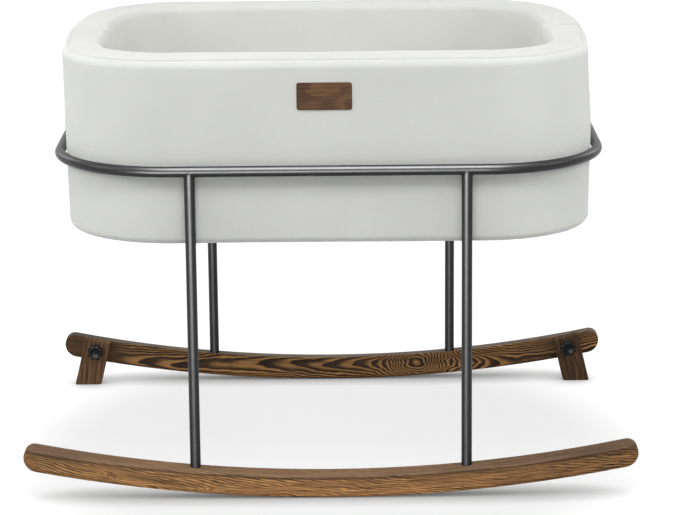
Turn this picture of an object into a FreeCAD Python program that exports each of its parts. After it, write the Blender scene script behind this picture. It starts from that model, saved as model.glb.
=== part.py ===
import FreeCAD, Part
import math
import os
import re
import Sketcher

# A rocking cradle on its own floor: X runs along the cradle, Y from front to back, Z up.
# The origin is on the floor, under the middle of the cradle. Lengths are in millimetres.

SIZES = [
    # Rockers: two bent wooden runners
    ("rocker_length", 1000.0),
    ("rocker_radius", 2470.0),
    ("rocker_height", 40.0),
    ("rocker_width", 38.0),
    ("rocker_edge_radius", 8.0),
    ("rocker_tip_radius", 16.0),
    # Steel frame: a ring round the basket, four legs and two crossbars under the basket
    ("tube_diameter", 17.2),
    ("tube_wall", 1.5),
    ("ring_height", 540.0),
    ("ring_side_gap", 1.2),
    ("ring_end_gap", 4.4),
    ("vent_diameter", 6.0),
    ("leg_spacing", 442.0),
    ("leg_splay", 6.0),
    ("leg_socket_depth", 6.0),
    ("leg_socket_gap", 0.15),
    ("leg_weld_land", 2.5),
    ("crossbar_diameter", 13.5),
    ("crossbar_wall", 1.5),
    # Fixings that pull each leg down into its rocker
    ("bolt_diameter", 8.0),
    ("bolt_length", 40.0),
    ("bolt_head_diameter", 13.0),
    ("bolt_head_height", 8.0),
    ("bolt_key_across", 6.0),
    ("bolt_key_depth", 4.0),
    ("bolt_land", 22.0),
    ("bolt_gap", 0.5),
    ("thread_gap", 0.05),
    ("plug_length", 20.0),
    ("bolt_washer_diameter", 16.0),
    ("bolt_washer_thickness", 1.6),
    ("counterbore_gap", 1.5),
    # Stops that hold the rear rocker still, and the knobs that clamp them
    ("pivot_inset", 59.0),
    ("pivot_rise", 5.5),
    ("stop_width", 47.0),
    ("stop_thickness", 20.0),
    ("stop_head", 19.0),
    ("stop_lean", 13.5),
    ("stop_toe_radius", 5.5),
    ("stop_corner_radius", 2.5),
    ("stop_edge_radius", 1.5),
    ("stop_face_gap", 0.2),
    ("stop_bore_gap", 0.06),
    ("knob_diameter", 30.0),
    ("knob_head_height", 11.0),
    ("knob_groove_radius", 4.0),
    ("knob_groove_bite", 2.4),
    ("knob_rounding", 2.5),
    ("knob_back_slope", 2.0),
    ("knob_recess_diameter", 14.0),
    ("knob_recess_depth", 2.5),
    ("knob_hub_diameter", 18.0),
    ("knob_hub_height", 3.0),
    ("knob_washer_diameter", 22.0),
    ("knob_washer_thickness", 1.6),
    ("clamp_gap", 0.1),
    ("stud_diameter", 8.0),
    ("stud_seat", 9.0),
    ("stud_reach", 15.0),
    ("insert_diameter", 12.0),
    ("insert_length", 20.0),
    # Basket: a base board, a thick foam wall and the covers round them
    ("basket_floor_height", 420.0),
    ("basket_height", 298.0),
    ("basket_top_length", 869.0),
    ("basket_top_width", 657.0),
    ("basket_wall_draft", 1.05),
    ("basket_corner_radius", 178.0),
    ("inner_corner_radius", 120.0),
    ("end_wall", 63.0),
    ("side_wall", 74.0),
    ("rim_outer_radius", 16.0),
    ("rim_inner_radius", 14.0),
    ("base_edge_radius", 10.0),
    ("cover_thickness", 1.5),
    ("base_thickness", 12.0),
    ("seam_drop", 3.0),
    ("cover_return", 25.0),
    ("basket_seat_gap", 0.3),
    # Badge on the front of the basket
    ("badge_length", 88.0),
    ("badge_height", 44.0),
    ("badge_thickness", 3.0),
    ("badge_corner_radius", 4.0),
    ("badge_edge_radius", 0.8),
    ("badge_offset", -5.0),
    ("badge_drop", 59.0),
    # Mattress on the basket's floor
    ("mattress_thickness", 50.0),
    ("mattress_gap", 4.0),
    ("mattress_edge_radius", 12.0),
    ("mattress_seat_gap", 0.3),
    # How far a cutting shape runs past the face that it opens
    ("overrun", 12.0),
]

WORKED = [
    # Rockers
    ("rocker_top_radius", "rocker_radius - rocker_height"),
    ("rocker_middle_radius", "rocker_radius - rocker_height / 2"),
    ("tip_lower_radius", "rocker_height - rocker_tip_radius"),
    ("tip_centre_distance", "rocker_radius - tip_lower_radius"),
    ("tip_centre_x", "rocker_length / 2 - tip_lower_radius"),
    # Basket
    ("basket_top", "basket_floor_height + basket_height"),
    ("seam_height", "basket_top - seam_drop"),
    ("board_bottom", "basket_floor_height + cover_thickness"),
    ("board_top", "board_bottom + base_thickness"),
    ("lining_top", "board_top + cover_thickness"),
    ("wall_slope", "tan(basket_wall_draft * 1 deg)"),
    ("wall_draw", "basket_height * wall_slope"),
    ("basket_bottom_length", "basket_top_length - 2 * wall_draw"),
    ("basket_bottom_width", "basket_top_width - 2 * wall_draw"),
    ("cavity_length", "basket_top_length - 2 * end_wall"),
    ("cavity_width", "basket_top_width - 2 * side_wall"),
    ("mid_wall_length", "basket_bottom_length - end_wall"),
    ("mid_wall_width", "basket_bottom_width - side_wall"),
    ("mid_wall_radius", "(basket_corner_radius + inner_corner_radius) / 2"),
    # Ring, legs and crossbars
    ("ring_draw", "(basket_top - ring_height) * wall_slope"),
    ("ring_end_reach", "tube_diameter / 2 + ring_end_gap"),
    ("ring_side_reach", "tube_diameter / 2 + ring_side_gap"),
    ("ring_length", "basket_top_length - 2 * ring_draw + 2 * ring_end_reach"),
    ("ring_width", "basket_top_width - 2 * ring_draw + 2 * ring_side_reach"),
    ("ring_corner_radius", "basket_corner_radius + (ring_end_reach + ring_side_reach) / 2"),
    ("tube_bore", "tube_diameter - 2 * tube_wall"),
    ("ring_bend_x", "ring_length / 2 - ring_corner_radius"),
    ("ring_bend_y", "ring_width / 2 - ring_corner_radius"),
    ("rocker_y", "ring_width / 2 + leg_splay"),
    ("rocker_inner_face", "rocker_y - rocker_width / 2"),
    ("leg_x", "leg_spacing / 2"),
    ("rocker_top_at_leg", "rocker_radius - sqrt(rocker_top_radius ^ 2 - leg_x ^ 2)"),
    ("leg_foot", "rocker_top_at_leg - leg_socket_depth"),
    ("leg_rise", "ring_height - leg_foot"),
    ("leg_slope", "leg_splay / leg_rise"),
    ("leg_tilt", "atan(leg_slope)"),
    ("leg_length", "leg_rise / cos(leg_tilt) - leg_weld_land"),
    ("crossbar_height", "basket_floor_height - basket_seat_gap - crossbar_diameter / 2"),
    ("crossbar_half_length", "rocker_y - (crossbar_height - leg_foot) * leg_slope"),
    ("bolt_seat", "bolt_land + bolt_washer_thickness"),
    ("bolt_depth", "bolt_seat + bolt_head_height"),
    # Stops and knobs
    ("pivot_x", "rocker_length / 2 - pivot_inset"),
    ("rocker_middle_at_pivot", "rocker_radius - sqrt(rocker_middle_radius ^ 2 - pivot_x ^ 2)"),
    ("pivot_height", "rocker_middle_at_pivot + pivot_rise"),
    ("stop_back", "rocker_inner_face - stop_face_gap"),
    ("stop_front", "stop_back - stop_thickness"),
    ("stop_half_width", "stop_width / 2"),
    ("stop_lean_sine", "sin(stop_lean * 1 deg)"),
    ("stop_lean_cosine", "cos(stop_lean * 1 deg)"),
    ("stop_outer_drop", "(pivot_height + stop_half_width * stop_lean_sine) / stop_lean_cosine"),
    ("stop_inner_drop", "(pivot_height - stop_half_width * stop_lean_sine) / stop_lean_cosine"),
    ("stop_bore_radius", "stud_diameter / 2 + stop_bore_gap"),
    ("washer_back", "stop_front - clamp_gap"),
    ("washer_front", "washer_back - knob_washer_thickness"),
    ("knob_back", "washer_front - clamp_gap"),
    ("knob_length", "knob_hub_height + knob_head_height"),
    ("stud_end", "rocker_inner_face + stud_reach"),
    ("groove_centre", "knob_diameter / 2 + knob_groove_radius - knob_groove_bite"),
    # Badge and mattress
    ("badge_centre_height", "basket_top - badge_drop"),
    ("badge_face", "basket_top_width / 2 - badge_drop * wall_slope"),
    ("mattress_bottom", "lining_top + mattress_seat_gap"),
    ("mattress_length", "cavity_length - 2 * mattress_gap"),
    ("mattress_width", "cavity_width - 2 * mattress_gap"),
    ("mattress_corner_radius", "inner_corner_radius - mattress_gap"),
]

RIGHT, LEFT = 1, -1
REAR, FRONT = 1, -1
SIDE_NAMES = {LEFT: "left", RIGHT: "right"}
END_NAMES = {FRONT: "front", REAR: "rear"}
CORNERS = [(side, end) for end in (FRONT, REAR) for side in (LEFT, RIGHT)]
X_AXIS = FreeCAD.Vector(1, 0, 0)
Y_AXIS = FreeCAD.Vector(0, 1, 0)
Z_AXIS = FreeCAD.Vector(0, 0, 1)
QUARTER_TURN = "90 deg"
KNOB_LOBES = 8
KEY_SIDES = 6

# How a sketch numbers a curve's points and its own axes
START, END, CENTRE = range(1, 4)
ACROSS_AXIS, UP_AXIS = range(-1, -3, -1)
ORIGIN = (ACROSS_AXIS, START)

doc = FreeCAD.newDocument("RockingCradle")
sheet_of = {}
nodes = []


def formula(text):
    """Write each alias in a formula with the name of its sheet."""
    return re.sub("[a-z_]+", lambda word: sheet_of.get(word.group(), "") + word.group(), text)


def fill_sheet(name, rows, lead):
    """Make a sheet with one value and its alias in each row."""
    sheet = doc.addObject("Spreadsheet::Sheet", name)
    for row, (alias, content) in enumerate(rows, start=1):
        sheet.set(f"A{row}", alias)
        sheet.set(f"B{row}", lead + formula(str(content)))
        sheet.setAlias(f"B{row}", alias)
    sheet_of.update({alias: name + "." for alias, content in rows})
    doc.recompute()
    return sheet


def number(text):
    """The value of a formula as a plain number."""
    value = sizes.evalExpression(formula(text))
    return float(getattr(value, "Value", value))


def bind(item, **properties):
    """Bind properties to formulas; two underscores in a name stand for a dot."""
    for name, text in properties.items():
        item.setExpression(name.replace("__", "."), formula(text))
    return item


def place(item, x="0", y="0", z="0"):
    return bind(item, Placement__Base__x=x, Placement__Base__y=y, Placement__Base__z=z)


def turn(item, axis, angle):
    """Turn an object about an axis through its own origin."""
    item.Placement.Rotation = FreeCAD.Rotation(axis, number(angle))
    return bind(item, Placement__Rotation__Angle=angle)


def keep(item, label):
    """Name an object as a sub-part of the cradle."""
    item.Label = label
    nodes.append(item)
    return item


def cylinder(name, diameter, length):
    item = doc.addObject("Part::Cylinder", name)
    return bind(item, Radius=f"({diameter}) / 2", Height=length)


def cut(name, base, tool):
    item = doc.addObject("Part::Cut", name)
    item.Base, item.Tool = base, tool
    return item


def common(name, base, tool):
    item = doc.addObject("Part::Common", name)
    item.Base, item.Tool = base, tool
    return item


def fuse(name, shapes):
    item = doc.addObject("Part::MultiFuse", name)
    item.Shapes = shapes
    return item


def group(name, shapes):
    item = doc.addObject("Part::Compound", name)
    item.Links = shapes
    return item


def rule(sketch, *terms):
    return sketch.addConstraint(Sketcher.Constraint(*terms))


def dimension(sketch, text, kind, *terms):
    """A driving dimension of a sketch that follows a formula."""
    index = rule(sketch, kind, *terms, number(text))
    sketch.setExpression(f"Constraints[{index}]", formula(text))


def locate(sketch, item, point, across, up):
    """Dimension a point of a sketch from the sketch's origin."""
    for kind, text, axis in (("DistanceX", across, UP_AXIS), ("DistanceY", up, ACROSS_AXIS)):
        value = number(text)
        if value == 0:
            rule(sketch, "PointOnObject", item, point, axis)
        elif value > 0:
            dimension(sketch, text, kind, *ORIGIN, item, point)
        else:
            dimension(sketch, f"-({text})", kind, item, point, *ORIGIN)


def arc(sketch, x, y, radius, first_angle, last_angle):
    """An arc of a sketch, anticlockwise between two angles in radians."""
    circle = Part.Circle(FreeCAD.Vector(x, y, 0), Z_AXIS, radius)
    return sketch.addGeometry(Part.ArcOfCircle(circle, first_angle, last_angle))


def disc(sketch, radius, across="0", up="0"):
    """A circle of a sketch, with its centre dimensioned from the sketch's origin."""
    centre = FreeCAD.Vector(number(across), number(up), 0)
    curve = sketch.addGeometry(Part.Circle(centre, Z_AXIS, number(radius)))
    dimension(sketch, radius, "Radius", curve)
    locate(sketch, curve, CENTRE, across, up)


def outline(sketch, corners):
    """A closed outline of straight lines through corners given by formulas."""
    points = [FreeCAD.Vector(number(across), number(up), 0) for across, up in corners]
    followers = points[1:] + points[:1]
    lines = [sketch.addGeometry(Part.LineSegment(*ends)) for ends in zip(points, followers)]
    for line, follower in zip(lines, lines[1:] + lines[:1]):
        rule(sketch, "Coincident", line, END, follower, START)
    for line, (across, up) in zip(lines, corners):
        locate(sketch, line, START, across, up)


def rounded_rectangle(sketch, length, width, radius):
    """A rectangle about the sketch's origin with four equal round corners."""
    corner = number(radius)
    across, up = number(length) / 2 - corner, number(width) / 2 - corner
    centres = [(across, up), (-across, up), (-across, -up), (across, -up)]
    quarter = math.pi / 2
    arcs, lines = [], []
    for turns, (x, y) in enumerate(centres):
        arcs.append(arc(sketch, x, y, corner, turns * quarter, (turns + 1) * quarter))
    for turns, (x, y) in enumerate(centres):
        next_x, next_y = centres[(turns + 1) % len(centres)]
        angle = (turns + 1) * quarter
        offset = FreeCAD.Vector(corner * math.cos(angle), corner * math.sin(angle), 0)
        ends = FreeCAD.Vector(x, y, 0) + offset, FreeCAD.Vector(next_x, next_y, 0) + offset
        lines.append(sketch.addGeometry(Part.LineSegment(*ends)))
    for curve, line, follower in zip(arcs, lines, arcs[1:] + arcs[:1]):
        rule(sketch, "Tangent", curve, END, line, START)
        rule(sketch, "Tangent", line, END, follower, START)
    for curve in arcs[1:]:
        rule(sketch, "Equal", arcs[0], curve)
    dimension(sketch, radius, "Radius", arcs[0])
    top, left, bottom, right = lines
    for line in (top, bottom):
        rule(sketch, "Horizontal", line)
    for line in (left, right):
        rule(sketch, "Vertical", line)
    dimension(sketch, f"({width}) / 2", "DistanceY", *ORIGIN, top, START)
    dimension(sketch, f"({width}) / 2", "DistanceY", bottom, START, *ORIGIN)
    dimension(sketch, f"({length}) / 2", "DistanceX", *ORIGIN, right, START)
    dimension(sketch, f"({length}) / 2", "DistanceX", left, START, *ORIGIN)


def new_body(name):
    return doc.addObject("PartDesign::Body", name)


def new_sketch(body, name, role, offset="0"):
    """A sketch on one of its body's origin planes, moved along that plane's normal."""
    sketch = body.newObject("Sketcher::SketchObject", name)
    plane = next(item for item in body.Origin.OriginFeatures if item.Role == role)
    sketch.AttachmentSupport = [(plane, "")]
    sketch.MapMode = "FlatFace"
    return bind(sketch, AttachmentOffset__Base__z=offset)


def feature(body, kind, name, profile, **properties):
    item = body.newObject("PartDesign::" + kind, name)
    item.Profile = profile
    return bind(item, **properties)


def round_edges(body, name, radius, chosen):
    """Round those edges of a body's last feature that pass a test."""
    doc.recompute()
    last = body.Tip
    edges = [f"Edge{index}" for index, edge in enumerate(last.Shape.Edges, 1) if chosen(edge)]
    item = body.newObject("PartDesign::Fillet", name)
    item.Base = (last, edges)
    return bind(item, Radius=radius)


def close(first, second):
    """Whether two lengths agree within half of the finest gap in the cradle."""
    return abs(first - second) < number("thread_gap") / 2


def lies_at_height(edge, height):
    return all(close(point.Z, height) for point in edge.Vertexes) and close(edge.BoundBox.ZLength, 0)


def plate(name, length, width, radius, bottom, thickness):
    """A flat body with rounded corners."""
    body = new_body(name)
    sketch = new_sketch(body, name + "Outline", "XY_Plane", bottom)
    rounded_rectangle(sketch, length, width, radius)
    feature(body, "Pad", name + "Pad", sketch, Length=thickness)
    return body


def along_leg(item, side, end, distance):
    """Stand an object on a leg's axis, a distance up from the leg's foot."""
    turn(item, X_AXIS * end, "leg_tilt")
    y = f"{end} * (rocker_y - ({distance}) * sin(leg_tilt))"
    return place(item, f"{side} * leg_x", y, f"leg_foot + ({distance}) * cos(leg_tilt)")


def leg_rod(name, side, end, diameter, distance, length):
    """A round rod on a leg's axis."""
    return along_leg(cylinder(name, diameter, length), side, end, distance)


def rod_to_rear(name, side, diameter, y, length):
    """A round rod on a stop's pivot axis that runs towards the rear."""
    item = turn(cylinder(name, diameter, length), -X_AXIS, QUARTER_TURN)
    return place(item, f"{side} * pivot_x", y, "pivot_height")


sizes = fill_sheet("Sizes", SIZES, "")
fill_sheet("Worked", WORKED, "=")


# Ring: four bends and four straight runs of one tube, vented into each leg
def ring_bar(name, diameter):
    """A solid round bar along the ring's middle line."""
    bends, runs = [], []
    for quarter, (side, end) in enumerate(((RIGHT, REAR), (LEFT, REAR), (LEFT, FRONT), (RIGHT, FRONT))):
        prefix = name + END_NAMES[end].title() + SIDE_NAMES[side].title()
        bend = doc.addObject("Part::Torus", prefix + "Bend")
        bind(bend, Radius1="ring_corner_radius", Radius2=f"({diameter}) / 2", Angle3=QUARTER_TURN)
        turn(bend, Z_AXIS, f"{quarter} * {QUARTER_TURN}")
        bends.append(place(bend, f"{side} * ring_bend_x", f"{end} * ring_bend_y", "ring_height"))
    for end in (FRONT, REAR):
        run = turn(cylinder(name + END_NAMES[end].title() + "Run", diameter, "2 * ring_bend_x"),
                   Y_AXIS, QUARTER_TURN)
        runs.append(place(run, "-ring_bend_x", f"{end} * ring_width / 2", "ring_height"))
    for side in (LEFT, RIGHT):
        run = turn(cylinder(name + SIDE_NAMES[side].title() + "Run", diameter, "2 * ring_bend_y"),
                   X_AXIS, QUARTER_TURN)
        runs.append(place(run, f"{side} * ring_length / 2", "ring_bend_y", "ring_height"))
    return fuse(name, bends + runs)


ring_rod = ring_bar("RingRod", "tube_diameter")
ring_bore = ring_bar("RingBore", "tube_bore")
vents = []
for side, end in CORNERS:
    name = END_NAMES[end].title() + SIDE_NAMES[side].title() + "Vent"
    vents.append(leg_rod(name, side, end, "vent_diameter", "leg_length - overrun",
                         "leg_weld_land + overrun"))
ring_hollow = cut("RingHollow", ring_rod, ring_bore)
keep(cut("RingTube", ring_hollow, fuse("Vents", vents)), "ring_tube")


# Legs, each a tube coped under the ring, with a threaded plug, a bolt and a washer
def hexagon(name, side, end, across, distance, length):
    """A six-sided rod on a leg's axis."""
    item = doc.addObject("Part::Prism", name)
    item.Polygon = KEY_SIDES
    bind(item, Circumradius=f"({across}) / 2 / cos(180 deg / {KEY_SIDES})", Height=length)
    return along_leg(item, side, end, distance)


plugs, bolts, washers, leg_rods = [], [], [], {}
for side, end in CORNERS:
    where = (side, end)
    name = END_NAMES[end].title() + SIDE_NAMES[side].title()
    rod = leg_rod(name + "LegRod", *where, "tube_diameter", "0", "leg_length")
    bore = leg_rod(name + "LegBore", *where, "tube_bore", "-overrun", "leg_length + 2 * overrun")
    leg_rods[where] = rod
    tube = cut(name + "LegTube", rod, bore)
    keep(cut(name + "Leg", tube, ring_rod), f"leg_{END_NAMES[end]}_{SIDE_NAMES[side]}")

    blank = leg_rod(name + "PlugBlank", *where, "tube_bore - 2 * thread_gap", "0", "plug_length")
    thread = leg_rod(name + "PlugThread", *where, "bolt_diameter + 2 * thread_gap", "-overrun",
                     "plug_length + 2 * overrun")
    plugs.append(cut(name + "Plug", blank, thread))

    head = leg_rod(name + "BoltHead", *where, "bolt_head_diameter", "-bolt_depth",
                   "bolt_head_height")
    shank = leg_rod(name + "BoltShank", *where, "bolt_diameter", "-bolt_seat", "bolt_length")
    key = hexagon(name + "BoltKey", *where, "bolt_key_across", "-bolt_depth - overrun",
                  "bolt_key_depth + overrun")
    bolts.append(cut(name + "Bolt", fuse(name + "BoltBlank", [head, shank]), key))

    blank = leg_rod(name + "WasherBlank", *where, "bolt_washer_diameter", "-bolt_seat",
                    "bolt_washer_thickness")
    hole = leg_rod(name + "WasherHole", *where, "bolt_diameter + bolt_gap", "-bolt_seat - overrun",
                   "bolt_washer_thickness + 2 * overrun")
    washers.append(cut(name + "Washer", blank, hole))
keep(group("LegPlugs", plugs), "leg_plugs")
keep(group("LegBolts", bolts), "leg_bolts")
keep(group("LegWashers", washers), "leg_washers")


# Crossbars: tubes from leg to leg under the basket, coped to the legs
def crossbar_rod(name, side, diameter):
    item = turn(cylinder(name, diameter, "2 * crossbar_half_length"), X_AXIS, QUARTER_TURN)
    return place(item, f"{side} * leg_x", "crossbar_half_length", "crossbar_height")


for side in (LEFT, RIGHT):
    name = SIDE_NAMES[side].title() + "Crossbar"
    tube = cut(name + "Tube", crossbar_rod(name + "Rod", side, "crossbar_diameter"),
               crossbar_rod(name + "Bore", side, "crossbar_diameter - 2 * crossbar_wall"))
    legs = fuse(name + "Cope", [leg_rods[side, FRONT], leg_rods[side, REAR]])
    keep(cut(name, tube, legs), f"crossbar_{SIDE_NAMES[side]}")


# Rockers: bent bars with a long lower rounding at each tip
def rocker_blank(name, end):
    body = place(new_body(name), y=f"{end} * rocker_y")
    sketch = new_sketch(body, name + "Profile", "XZ_Plane")
    centre = number("rocker_radius")
    reach = number("tip_centre_distance")
    lower, upper = number("tip_lower_radius"), number("rocker_tip_radius")
    swing = math.asin(number("tip_centre_x") / reach)
    step = 2 * math.asin((lower - upper) / (2 * reach))
    down = -math.pi / 2
    bottom = arc(sketch, 0, centre, centre, down - swing, down + swing)
    top_radius = number("rocker_top_radius")
    top = arc(sketch, 0, centre, top_radius, down - swing - step, down + swing + step)
    rule(sketch, "PointOnObject", bottom, CENTRE, UP_AXIS)
    dimension(sketch, "rocker_radius", "DistanceY", *ORIGIN, bottom, CENTRE)
    dimension(sketch, "rocker_radius", "Radius", bottom)
    rule(sketch, "Coincident", top, CENTRE, bottom, CENTRE)
    dimension(sketch, "rocker_top_radius", "Radius", top)
    join = swing + step / 2
    for side in (LEFT, RIGHT):
        toe_x, toe_z = side * reach * math.sin(swing), centre - reach * math.cos(swing)
        tip_x = side * reach * math.sin(swing + step)
        tip_z = centre - reach * math.cos(swing + step)
        toe_angles = [down + swing, join]
        tip_angles = [join, swing + step - down]
        first, last = START, END
        if side == LEFT:
            toe_angles = [math.pi - angle for angle in reversed(toe_angles)]
            tip_angles = [math.pi - angle for angle in reversed(tip_angles)]
            first, last = END, START
        toe = arc(sketch, toe_x, toe_z, lower, *toe_angles)
        tip = arc(sketch, tip_x, tip_z, upper, *tip_angles)
        dimension(sketch, "tip_lower_radius", "Radius", toe)
        dimension(sketch, "rocker_tip_radius", "Radius", tip)
        rule(sketch, "Tangent", bottom, last, toe, first)
        rule(sketch, "Tangent", toe, last, tip, first)
        rule(sketch, "Tangent", tip, last, top, last)
        terms = (*ORIGIN, toe, CENTRE) if side == RIGHT else (toe, CENTRE, *ORIGIN)
        dimension(sketch, "tip_centre_x", "DistanceX", *terms)
    pad = feature(body, "Pad", name + "Pad", sketch, Length="rocker_width")
    pad.SideType = "Symmetric"
    round_edges(body, name + "Easing", "rocker_edge_radius",
                lambda edge: close(edge.BoundBox.YLength, 0))
    return body


for end in (FRONT, REAR):
    name = END_NAMES[end].title() + "Rocker"
    tools = []
    for side in (LEFT, RIGHT):
        where = (side, end)
        prefix = name + SIDE_NAMES[side].title()
        tools.append(leg_rod(prefix + "Socket", *where, "tube_diameter + 2 * leg_socket_gap", "0",
                             "leg_socket_depth + overrun"))
        tools.append(leg_rod(prefix + "BoltHole", *where, "bolt_diameter + 2 * bolt_gap",
                             "-bolt_depth", "bolt_depth + overrun"))
        tools.append(leg_rod(prefix + "Counterbore", *where,
                             "bolt_washer_diameter + 2 * counterbore_gap",
                             "-bolt_depth - overrun", "bolt_depth + overrun - bolt_land"))
        if end == REAR:
            tools.append(rod_to_rear(prefix + "InsertHole", side,
                                     "insert_diameter + 2 * thread_gap",
                                     "rocker_inner_face - overrun", "insert_length + overrun"))
    blank = rocker_blank(name + "Blank", end)
    keep(cut(name, blank, fuse(name + "Holes", tools)), f"{END_NAMES[end]}_rocker")

inserts = []
for side in (LEFT, RIGHT):
    name = SIDE_NAMES[side].title() + "Insert"
    blank = rod_to_rear(name + "Blank", side, "insert_diameter", "rocker_inner_face",
                        "insert_length")
    thread = rod_to_rear(name + "Thread", side, "stud_diameter + 2 * thread_gap",
                         "rocker_inner_face - overrun", "insert_length + 2 * overrun")
    inserts.append(cut(name, blank, thread))
keep(group("KnobInserts", inserts), "knob_inserts")


# Stops: wooden feet that lean outwards to the floor and swing on the knobs' studs
def stop_body(name, side):
    body = turn(new_body(name), Y_AXIS * -side, "stop_lean * 1 deg")
    place(body, f"{side} * pivot_x", "stop_back", "pivot_height")
    sketch = new_sketch(body, name + "Profile", "XZ_Plane")
    inner, outer = f"{-side} * stop_half_width", f"{side} * stop_half_width"
    outline(sketch, [(outer, "stop_head"), (inner, "stop_head"), (inner, "-stop_inner_drop"),
                     (outer, "-stop_outer_drop")])
    disc(sketch, "stop_bore_radius")
    feature(body, "Pad", name + "Pad", sketch, Length="stop_thickness")

    def is_corner(edge):
        across = abs(edge.CenterOfMass.x)
        return close(edge.BoundBox.YLength, number("stop_thickness")) and across > number("stud_diameter")

    def is_toe(edge):
        return is_corner(edge) and edge.CenterOfMass.x * side < 0 and edge.CenterOfMass.z < 0

    def is_other_corner(edge):
        return is_corner(edge) and not (edge.CenterOfMass.x * side < 0 and edge.CenterOfMass.z < 0)

    def is_face_edge(edge):
        round_bore = close(edge.BoundBox.XLength, 2 * number("stop_bore_radius"))
        return close(edge.BoundBox.YLength, 0) and not round_bore

    round_edges(body, name + "Toe", "stop_toe_radius", is_toe)
    round_edges(body, name + "Corners", "stop_corner_radius", is_other_corner)
    round_edges(body, name + "Easing", "stop_edge_radius", is_face_edge)
    return body


# Knobs: lobed heads on studs that screw through the stops into the rear rocker
def knob_body(name, side):
    body = turn(new_body(name), X_AXIS, QUARTER_TURN)
    place(body, f"{side} * pivot_x", "knob_back", "pivot_height")
    sketch = new_sketch(body, name + "Profile", "XZ_Plane")
    bore, hub = "stud_diameter / 2 + thread_gap", "knob_hub_diameter / 2"
    rim, recess = "knob_diameter / 2", "knob_recess_diameter / 2"
    recess_floor = "knob_length - knob_recess_depth"
    outline(sketch, [(bore, "0"), (hub, "0"), (hub, "knob_hub_height"),
                     (f"{rim} - knob_back_slope", "knob_hub_height"),
                     (rim, "knob_hub_height + knob_back_slope"), (rim, "knob_length"),
                     (recess, "knob_length"), (recess, recess_floor), ("0", recess_floor),
                     ("0", "stud_seat"), (bore, "stud_seat")])
    head = feature(body, "Revolution", name + "Head", sketch)
    head.ReferenceAxis = (sketch, ["V_Axis"])
    round_edges(body, name + "Rim", "knob_rounding",
                lambda edge: lies_at_height(edge, number("knob_length"))
                and close(edge.BoundBox.XLength, number("knob_diameter")))
    groove_sketch = new_sketch(body, name + "GrooveCircle", "XY_Plane", "knob_length")
    disc(groove_sketch, "knob_groove_radius", "groove_centre")
    groove = feature(body, "Pocket", name + "Groove", groove_sketch, Length="knob_length")
    lobes = body.newObject("PartDesign::PolarPattern", name + "Lobes")
    lobes.Originals = [groove]
    lobes.Axis = (groove_sketch, ["N_Axis"])
    lobes.Occurrences = KNOB_LOBES
    body.Tip = lobes
    return body


for side in (LEFT, RIGHT):
    label = SIDE_NAMES[side]
    name = label.title()
    keep(stop_body(name + "Stop", side), f"stop_{label}")
    keep(knob_body(name + "Knob", side), f"knob_{label}")
    stud = rod_to_rear(name + "Stud", side, "stud_diameter", "knob_back - stud_seat",
                       "stud_end - knob_back + stud_seat")
    keep(stud, f"knob_stud_{label}")
    blank = rod_to_rear(name + "WasherBlank", side, "knob_washer_diameter", "washer_front",
                        "knob_washer_thickness")
    hole = rod_to_rear(name + "WasherHole", side, "stud_diameter + bolt_gap",
                       "washer_front - overrun", "knob_washer_thickness + 2 * overrun")
    keep(cut(name + "KnobWasher", blank, hole), f"knob_washer_{label}")


# Basket: trays that share one form, each inset from the outer face by the same amount
def slope_walls(body, name):
    """Draft the upright walls of a body's last feature from its top face, inwards and down."""
    doc.recompute()
    last = body.Tip
    faces = list(enumerate(last.Shape.Faces, 1))
    walls = [f"Face{index}" for index, face in faces if not close(face.BoundBox.ZLength, 0)]
    top = max((face.CenterOfMass.z, index) for index, face in faces)[1]
    draft = body.newObject("PartDesign::Draft", name)
    draft.Base = (last, walls)
    draft.NeutralPlane = (last, [f"Face{top}"])
    draft.Reversed = True
    return bind(draft, Angle="basket_wall_draft")


def tray(name, inset):
    """The basket's form, with every face moved into its wall by an inset."""
    bottom, top = f"basket_floor_height + {inset}", f"basket_top - {inset}"
    body = plate(name, f"basket_top_length - 2 * {inset}", f"basket_top_width - 2 * {inset}",
                 f"basket_corner_radius - {inset}", bottom, f"basket_height - 2 * {inset}")
    slope_walls(body, name + "Walls")
    sketch = new_sketch(body, name + "HollowOutline", "XY_Plane", top)
    rounded_rectangle(sketch, f"cavity_length + 2 * {inset}", f"cavity_width + 2 * {inset}",
                      f"inner_corner_radius + {inset}")
    feature(body, "Pocket", name + "Hollow", sketch, Length="basket_top - lining_top")

    def is_outer(edge):
        return any(abs(point.X) > number("mid_wall_length / 2")
                   or abs(point.Y) > number("mid_wall_width / 2") for point in edge.Vertexes)

    round_edges(body, name + "OuterRim", f"rim_outer_radius - {inset}",
                lambda edge: lies_at_height(edge, number(top)) and is_outer(edge))
    round_edges(body, name + "InnerRim", f"rim_inner_radius - {inset}",
                lambda edge: lies_at_height(edge, number(top)) and not is_outer(edge))
    round_edges(body, name + "Base", f"base_edge_radius - {inset}",
                lambda edge: lies_at_height(edge, number(bottom)))
    return body


def slab(name, bottom, top, front="-basket_top_width / 2 - overrun"):
    """A box over the whole basket between two heights, from a front limit to the rear."""
    item = doc.addObject("Part::Box", name)
    bind(item, Length="basket_top_length + 2 * overrun", Height=f"{top} - ({bottom})",
         Width=f"basket_top_width / 2 + overrun - ({front})")
    return place(item, "-basket_top_length / 2 - overrun", front, bottom)


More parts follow.
